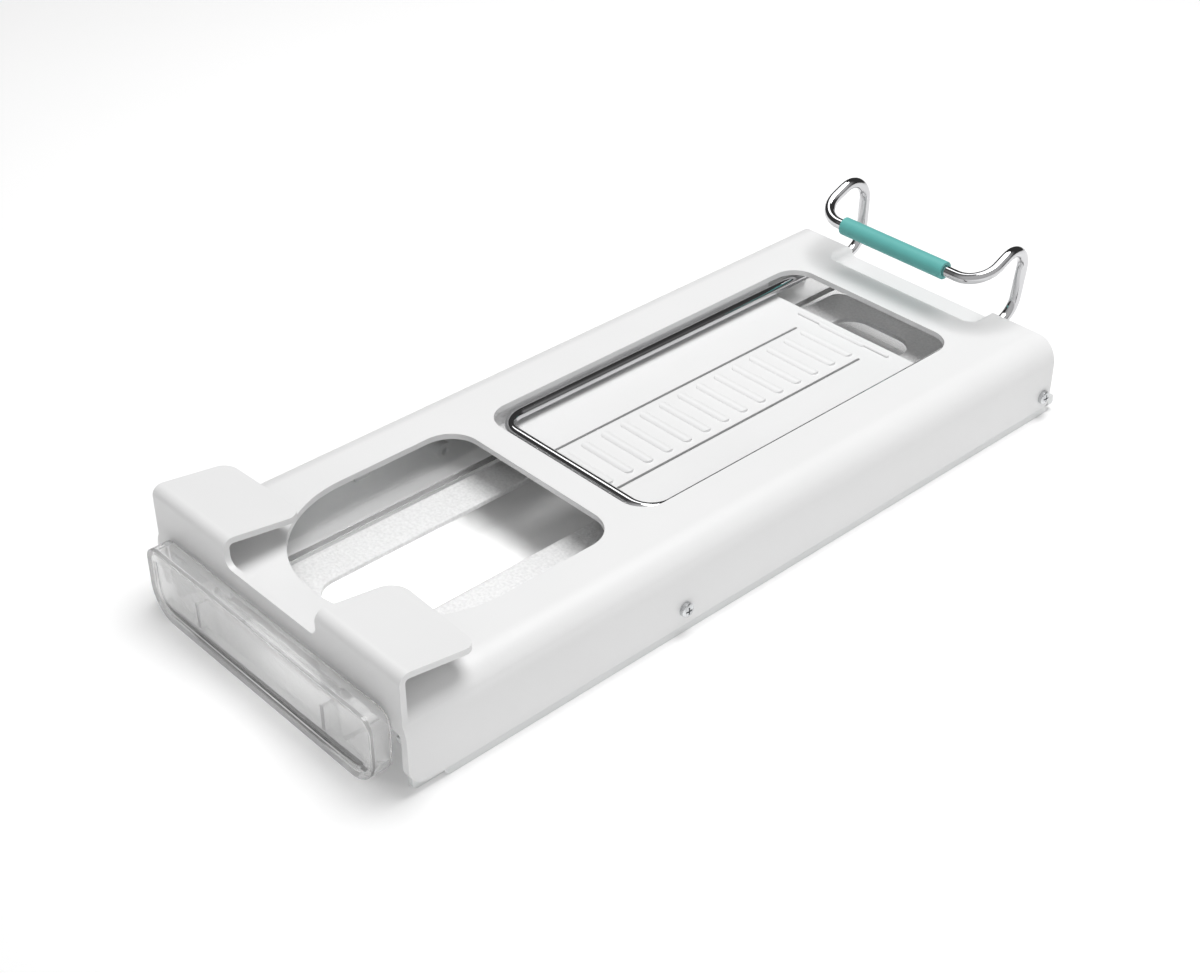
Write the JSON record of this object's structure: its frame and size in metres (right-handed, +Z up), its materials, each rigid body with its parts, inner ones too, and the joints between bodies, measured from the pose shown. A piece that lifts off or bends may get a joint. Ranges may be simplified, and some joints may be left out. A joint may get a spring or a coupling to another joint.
{
  "type": "under-shelf storage drawer",
  "caption": "Clear sliding drawer in a white cover that hangs from a shelf by two front tabs and a pull-out wire hook with a soft sleeve.",
  "frame": {"origin": "centre of the object's footprint with the hook pushed in and the drawer shut, at the feet of the rails", "axes": "+X to the right seen from the drawer front, +Y from the drawer front to the back, +Z up towards the shelf"},
  "size_m": [0.143, 0.3472, 0.0631],
  "materials": {
    "white_plastic": "satin moulded white",
    "rail_plastic": "satin moulded pale grey",
    "screw_steel": "bright zinc plate",
    "clear_plastic": "clear moulded, polished",
    "frosted_plastic": "fine stippled frost",
    "chrome_wire": "polished chrome plate",
    "turquoise_sleeve": "soft matt extrusion"
  },
  "bodies": {
    "housing": {"cover": "white_plastic", "ratchet_plate": "white_plastic", "wire_guides": "white_plastic", "rail_left": "rail_plastic", "rail_right": "rail_plastic", "rail_screws": "screw_steel"},
    "drawer": {"drawer_tray": "clear_plastic", "drawer_insert": "frosted_plastic", "drawer_front": "clear_plastic"},
    "hook": {"wire_hook": "chrome_wire", "hook_sleeve": "turquoise_sleeve"}
  },
  "joints": [
    {"name": "drawer_slide", "type": "slide", "parent": "housing", "child": "drawer", "axis": [0, -1, 0], "range_m": [0, 0.23]},
    {"name": "hook_slide", "type": "slide", "parent": "housing", "child": "hook", "axis": [0, 1, 0], "range_m": [0, 0.14]}
  ]
}
